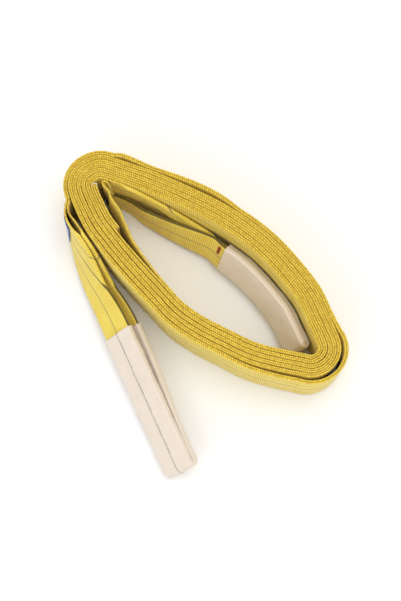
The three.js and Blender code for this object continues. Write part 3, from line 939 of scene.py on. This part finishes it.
LAP_SLANT = 0.2
OVERLOCK_SWEEP = np.radians(np.linspace(20, 178, 14))
OVERLOCK_FROM = 4.0
OVERLOCK_PITCH = 5.0
OVERLOCK_TOP = WEB_WIDTH + 0.9
OVERLOCK_ARC = WEB_WIDTH + 0.5
ARC_STAND_OFF = 0.25


def build_lap():
    points, out, centre, last_out, ahead = lap_route()
    stations = standing(points, out)
    item = web_sheet("lapped_end", stations, straight(stations["fold"]), LAP_SLANT)
    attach(item, "coil")
    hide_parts("inner_eye_lap")

    reach = PLY_STEP / 2 + HALF_WEB + THREAD

    def round_bend(sweep, off, height):
        way = np.outer(np.cos(sweep), last_out) + np.outer(np.sin(sweep), ahead)
        return raised(centre + way * off, height)

    climb = np.linspace(0, OVERLOCK_PITCH, len(OVERLOCK_SWEEP))
    passes = []
    for low in np.arange(OVERLOCK_FROM, OVERLOCK_TOP, OVERLOCK_PITCH):
        sweep = OVERLOCK_SWEEP if len(passes) % 2 == 0 else OVERLOCK_SWEEP[::-1]
        passes.append(round_bend(sweep, reach, np.minimum(low + climb, OVERLOCK_TOP)))
    path = np.vstack(passes)
    arc = round_bend(OVERLOCK_SWEEP, reach + ARC_STAND_OFF, OVERLOCK_ARC)
    overlock = threads("end_overlock", [path, arc], THREAD * 1.25, PALE_THREAD)
    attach(overlock, "coil")
    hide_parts("lap_end_overlock")


build_lap()


# ---- pieces: the outer eye
LEG_COLUMNS = (10, 10, 10)


def folded_web(name, stations):
    return web_sheet(name, stations, creased(stations["fold"], *LEG_COLUMNS), EDGE_SLANT)


def plane_point(distance):
    """A point of the frame on the outer eye's line."""
    point, _ = outer_place(np.array([distance]))
    return tuple((raised(point)[0] + DRAWING_SHIFT) * MM)


def build_leg_roots():
    leg = outer_leg(np.linspace(0, LEG_SPLIT, ROOT_SAMPLES))
    for name, sides, node in (
        ("outer_eye_near_root", leg, "outer_eye_near_leg"),
        ("outer_eye_far_root", far_side(leg), "outer_eye_far_leg"),
    ):
        stations = leg_stations(sides)
        item = folded_web(name, stations)
        plane_point(0.0)
        plane_point(ROOT_BEND)
        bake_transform(item)
        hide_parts(node)


def bend_at_mouth(item):
    plane_point(OUTER_LEG - MOUTH_BEND)
    plane_point(OUTER_LEG + MOUTH_BEND)
    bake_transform(item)


def build_outer_bight():
    leg = outer_leg(np.linspace(LEG_SPLIT, OUTER_TIP, OUTER_EYE_SAMPLES))
    stations = round_the_tip(leg, far_side(leg), SLEEVE_WAY, along_from=LEG_SPLIT)
    item = folded_web("outer_eye_webbing", stations)
    bend_at_mouth(item)
    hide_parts("outer_eye_bight")


build_leg_roots()
build_outer_bight()


# ---- pieces: the sleeves
SLEEVE_COLUMNS = 26
CORNER_STEPS = 6
SLEEVE_GAP = 0.4
# Hollows and creases of the cloth: depth in mm, divisors along and round it, and phase.
CLOTH_WAVES = [
    (0.28, 61, 47, 0.4), (0.2, 27, -33, 1.7), (0.1, 11.3, 19, 0.9), (0.07, 6.1, -14, 2.2),
]
DEEPEST_HOLLOW = -0.2
MOUTH_FLARE = 0.35
MOUTH_REACH = 7.0
GROOVE_REACH = 1.6
GROOVE_DEPTH = 0.1
STITCH_SWAY = (-0.35, 0.5)
STITCH_RISE = 0.55
STITCH_SUNK = 0.4


def sleeve_ring():
    """The sleeve's middle surface round a folded leg: its points, turns, run and seam height."""
    low = -CLEARANCE - SLEEVE / 2
    high = FOLDED_HEIGHT + CREASE_RADIUS + HALF_PLY + CLEARANCE + SLEEVE / 2
    outer = SLEEVE_OUT - SLEEVE / 2
    inner = -SLEEVE_IN + SLEEVE / 2
    middle = (low + high) / 2
    c = SLEEVE_CORNER
    points, angles = [], []

    def run(start, end, out, turn, count):
        points.extend((up, out) for up in np.linspace(start, end, count))
        angles.extend([turn] * count)

    def corner(centre_up, centre_out, start):
        for step in range(1, CORNER_STEPS):
            turn = start + 90 / CORNER_STEPS * step
            up, out = math.cos(math.radians(turn)), math.sin(math.radians(turn))
            points.append((centre_up + c * up, centre_out + c * out))
            angles.append(turn)

    half = SLEEVE_COLUMNS // 2
    run(middle - SLIT_HALF, low + c, outer, 90, half)
    corner(low + c, outer - c, 90)
    run(low, low, outer - c, 180, 1)
    corner(low + c, inner + c, 180)
    run(low + c, high - c, inner, 270, SLEEVE_COLUMNS)
    corner(high - c, inner + c, 270)
    corner(high - c, outer - c, 0)
    run(high - c, middle + SLIT_HALF, outer, 90, half)
    points = np.array(points)
    return points, np.radians(angles), run_along(points), middle


def puff(along, around):
    """Soft hollows and creases of the sleeve cloth and its flared mouths, in millimetres."""
    x = along[:, None] * 2 * math.pi
    y = around[None] * 2 * math.pi
    cloth = sum(size * np.sin(x / a + y / b + phase) for size, a, b, phase in CLOTH_WAVES)
    mouths = 1 - smooth(np.minimum(along, along[-1] - along), 0, MOUTH_REACH)
    return cloth + MOUTH_FLARE * mouths[:, None]


def sleeve_sheet(name, stations, inside=False):
    """A sleeve with its seam on the leg's outer side, or on its inner side."""
    ring, angle, around, middle = sleeve_ring()
    if inside:
        ring[:, 1] = SLEEVE_OUT - SLEEVE_IN - ring[:, 1]
        angle = -angle
    from_seam = np.minimum(around, around[-1] - around)[None]
    groove = np.exp(-((from_seam / GROOVE_REACH) ** 2)) * GROOVE_DEPTH
    offset = np.maximum(puff(stations["along"], around), DEEPEST_HOLLOW) - groove
    up = ring[:, 0][None] + np.cos(angle)[None] * offset
    out = ring[:, 1][None] + np.sin(angle)[None] * offset
    turn = np.pi / 2 - angle[None] + np.zeros_like(up)
    across = around[None] + np.zeros_like(up)
    grid = thickened(stations, (across, up, out, turn), SLEEVE / 2)
    item = sheet_object(name, grid, stations["along"], SLEEVE_CLOTH)
    return item, middle


def seam_stitches(name, stations, middle, inside=False):
    """Separate lockstitches along the sleeve's seam, each a low arch into the cloth."""
    along = stations["along"]
    arch = STITCH_RISE * STITCH_ARCH - STITCH_SUNK
    off = -(SLEEVE_IN + arch) if inside else SLEEVE_OUT + arch
    paths = []
    for k in range(1, int(along[-1] // STITCH_PITCH)):
        distance = k * STITCH_PITCH + STITCH_RUN * STITCH_LENGTH
        foot, width, outward = (
            np.column_stack([np.interp(distance, along, column) for column in stations[part].T])
            for part in ("foot", "width", "outward")
        )
        side = middle + STITCH_SWAY[k % 2] * STITCH_RUN
        paths.append(foot + width * side[:, None] + outward * off[:, None])
    item = threads(name, paths, THREAD, GREY_THREAD)
    return item


def build_outer_sleeve():
    leg = outer_leg(np.linspace(OUTER_LEG + SLEEVE_GAP, OUTER_TIP, OUTER_SLEEVE_SAMPLES))
    stations = round_the_tip(leg, far_side(leg), SLEEVE_WAY, step=SLEEVE_STEP)
    item, middle = sleeve_sheet("outer_eye_sleeve_cloth", stations)
    bend_at_mouth(item)
    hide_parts("outer_eye_sleeve")
    seam = seam_stitches("outer_sleeve_stitches", stations, middle)
    bend_at_mouth(seam)
    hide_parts("outer_sleeve_seam")


def inner_tip_way(leg):
    foot = leg["foot"]
    return (foot[-1] - foot[-2])[:2]


def build_inner_eye():
    near, far = inner_legs(np.linspace(INNER_START, INNER_TIP_AT, INNER_EYE_SAMPLES))
    stations = round_the_tip(near, far, inner_tip_way(near))
    item = folded_web("inner_eye_web", stations)
    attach(item, "coil")
    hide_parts("inner_eye_webbing")

    near, far = inner_legs(np.linspace(INNER_SLEEVE_AT, INNER_TIP_AT, INNER_SLEEVE_SAMPLES))
    stations = round_the_tip(near, far, inner_tip_way(near), step=SLEEVE_STEP)
    cloth, middle = sleeve_sheet("inner_eye_sleeve_cloth", stations, inside=True)
    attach(cloth, "coil")
    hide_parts("inner_eye_sleeve")
    seam = seam_stitches("inner_sleeve_stitches", stations, middle, inside=True)
    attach(seam, "coil")
    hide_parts("inner_sleeve_seam")


SLEEVE_CLOTH = sleeve_material(sleeve_ring()[2][-1])
build_outer_sleeve()
build_inner_eye()


# ---- pieces: sewing
RUNG_SAMPLES = 16
ZIGZAG_MARGIN = 12.0
ZIGZAG_OFF = 0.25
ZIGZAG_RISE = 0.22
OUTER_ROOT_SPAN = (0.004, 0.03)
INNER_ROOT_SPAN = (5.7, 5.76)
INNER_TACK = (0.2665, 0.2725)
INNER_TACK_HEIGHTS = (27.0, CREST - 3.0)
OUTER_TACK = (4.0, 8.0)
OUTER_TACK_HEIGHTS = (80.0, 88.0)
TACK_STITCHES = 14
TACK_OFF = 0.3
TACK_RISE = 0.15


def zigzag(span, rungs, face, way):
    """Two crossing zigzags on a face of the coil, standing off it the given way."""
    turn = np.linspace(*span, rungs * RUNG_SAMPLES + 1)
    point, out = coil(turn)
    stitched = ZIGZAG_RISE * np.cos(np.arange(len(turn)) * math.pi / 2)
    line = point + out * (face + way * (ZIGZAG_OFF + stitched))[:, None]
    paths = []
    for lane in range(2):
        up = np.abs((np.linspace(0, rungs, len(turn)) + lane) % 2 - 1)
        paths.append(raised(line, ZIGZAG_MARGIN + (WEB_WIDTH - 2 * ZIGZAG_MARGIN) * up))
    return paths


def build_root_stitching():
    outer = zigzag(OUTER_ROOT_SPAN, 6, PLY_STEP + HALF_PLY + HALF_WEB, 1)
    inner = zigzag(INNER_ROOT_SPAN, 8, HALF_PLY - HALF_WEB, -1)
    for name, paths, node in (
        ("outer_root_stitches", outer, "outer_root_stitching"),
        ("inner_root_stitches", inner, "inner_root_stitching"),
    ):
        item = threads(name, paths, THREAD, PALE_THREAD)
        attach(item, "coil")
        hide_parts(node)


build_root_stitching()


def tack(name, leg, heights, body):
    """A bar tack of red thread across a leg's outer face, in close zigzag stitches."""
    odd = np.arange(len(leg["foot"])) % 2
    up = np.where(odd == 0, *heights)
    off = HALF_WEB + TACK_OFF + TACK_RISE * odd
    path = leg["foot"] + leg["width"] * up[:, None] + leg["outward"] * off[:, None]
    item = threads(name, [path], THREAD * 1.2, RED_THREAD)
    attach(item, body)


def build_tacks():
    near, _ = inner_legs(np.linspace(*INNER_TACK, TACK_STITCHES))
    tack("inner_eye_tack", near, INNER_TACK_HEIGHTS, "coil")
    near = outer_leg(np.linspace(*OUTER_TACK, TACK_STITCHES // 2))
    tack("outer_eye_tack", near, OUTER_TACK_HEIGHTS, "outer_eye_legs")


build_tacks()


# ---- pieces: the label
LABEL_BOTTOM = 22.0
LABEL_TOP = 78.0
LABEL_HALF = 0.3
LABEL_START = 9.0
HEM_END = 14.0
FLAP_START = 14.6
FLAP_END = 38.0
FLAP_CURL = 0.8
LABEL_STEP = 1.2
LABEL_COLUMNS = 24
RIPPLE = 0.3
RIPPLE_PITCH = 9.0
LABEL_STITCHES = 15
LABEL_STITCH_FROM = LABEL_BOTTOM + 2.0
LABEL_STITCH_AT = 11.5
LABEL_STITCH_PITCH = 3.6
LABEL_STITCH_LENGTH = 2.7
LABEL_STITCH_OFF = 0.8
LABEL_STITCH_RISE = 0.35


def label_sheet(name, start, end, body, node, curl=0.0):
    leg = outer_leg(np.linspace(start, end, LABEL_SAMPLES))
    stations = leg_stations(leg, step=LABEL_STEP)
    across = np.linspace(LABEL_BOTTOM, LABEL_TOP, LABEL_COLUMNS)[None]
    across = across.repeat(len(stations["along"]), 0)
    share = (stations["along"] / stations["along"][-1])[:, None]
    out = np.full_like(across, HALF_PLY + CLEARANCE + LABEL_HALF)
    out = out + curl * share**2 + RIPPLE * share * np.sin(across / RIPPLE_PITCH)
    grid = thickened(stations, (across, across, out, np.zeros_like(out)), LABEL_HALF)
    item = sheet_object(name, grid, stations["along"], LABEL)
    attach(item, body)
    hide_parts(node)
    return item, ((LABEL_TOP - LABEL_BOTTOM) * MM, stations["along"][-1] * MM)


def on_leg(distance, height, off):
    """A point on the near leg's outer side."""
    leg = outer_leg(np.atleast_1d(distance))
    return leg["foot"] + leg["width"] * height + leg["outward"] * (HALF_PLY + off)


def build_label():
    hem, _ = label_sheet("label_hem_cloth", LABEL_START, HEM_END, "outer_eye_legs", "label_hem")
    flap, size = label_sheet(
        "label_flap_cloth", FLAP_START, FLAP_END, "label", "label_flap", curl=FLAP_CURL)
    off = LABEL_STITCH_OFF + LABEL_STITCH_RISE * STITCH_ARCH
    rows = []
    for k in range(LABEL_STITCHES):
        low = LABEL_STITCH_FROM + k * LABEL_STITCH_PITCH
        heights = low + np.linspace(0, LABEL_STITCH_LENGTH, len(off))
        rows.append(np.vstack([on_leg(LABEL_STITCH_AT, *place) for place in zip(heights, off)]))
    item = threads("label_stitches", rows, THREAD * 0.9, PALE_THREAD)
    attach(item, "outer_eye_legs")
    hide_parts("label_stitching")
    tail = [on_leg(FLAP_END - 0.4 + 0.7 * k, 60 + 1.1 * k, 1.4 + 0.05 * k * k) for k in range(8)]
    tail = threads("label_loose_thread", [np.vstack(tail)], 0.28, BLUE_THREAD)
    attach(tail, "label")


build_label()


# ---- floor, light and camera
FLOOR_HALF = 6.0
FLOOR_DROP = 0.0004
# Each lamp: name, place, diameter in metres, watts and colour.
LAMPS = [
    ("key_softbox", (-0.9, -1.5, 1.7), 1.3, 8, (1.0, 0.99, 0.97)),
    ("top_softbox", (0.3, 0.2, 2.2), 1.6, 15, (1.0, 1.0, 1.0)),
]
LAMP_TARGET = (0, 0, 0.04)
WHITE = (1.0, 1.0, 1.0, 1.0)
WORLD_STRENGTH = 0.9
FLOOR_GREY = (0.9, 0.9, 0.9, 1.0)


def build_floor():
    shader = Shader("pale_floor", 0.9, specular=0.1)
    shader.colour(FLOOR_GREY)
    size = FLOOR_HALF
    mesh = bpy.data.meshes.new("floor")
    corners = [(-size, -size, 0), (size, -size, 0), (size, size, 0), (-size, size, 0)]
    mesh.from_pydata(corners, [], [(0, 1, 2, 3)])
    mesh.materials.append(shader.material)
    floor = in_scene("floor", mesh)
    floor.location.z = -FLOOR_DROP


def direction_angles(way):
    """The turns that point a lamp, which shines down its own -Z, along a direction."""
    flat = math.hypot(way[0], way[1])
    return (math.atan2(flat, -way[2]), 0.0, math.atan2(-way[0], way[1]))


def build_light():
    for name, place, size, power, tint in LAMPS:
        data = bpy.data.lights.new(name, "AREA")
        data.shape = "DISK"
        data.size = size
        data.energy = power
        data.color = tint
        lamp = in_scene(name, data)
        lamp.location = place
        lamp.rotation_euler = direction_angles(np.array(LAMP_TARGET) - np.array(place))
    world = bpy.data.worlds.new("studio")
    world.use_nodes = True
    backdrop = world.node_tree.nodes["Background"].inputs
    backdrop["Color"].default_value = WHITE
    backdrop["Strength"].default_value = WORLD_STRENGTH
    bpy.context.scene.world = world
    bpy.context.scene.view_settings.view_transform = "Standard"


CAMERA_ELEVATION = math.radians(77.5)
CAMERA_DISTANCE = 1.47
CAMERA_TARGET = DRAWING_SHIFT * MM + np.array([0.0, 0.0, WEB_WIDTH * MM / 2])
CAMERA_LENS = 70.6


def build_camera():
    data = bpy.data.cameras.new("camera")
    data.lens = CAMERA_LENS
    data.clip_start = 0.01
    camera = in_scene("camera", data)
    away = np.array([0.0, -math.cos(CAMERA_ELEVATION), math.sin(CAMERA_ELEVATION)])
    camera.location = CAMERA_TARGET + away * CAMERA_DISTANCE
    camera.rotation_euler = (math.pi / 2 - CAMERA_ELEVATION, 0.0, 0.0)
    bpy.context.scene.camera = camera


build_floor()
build_light()
build_camera()

bpy.context.view_layer.update()
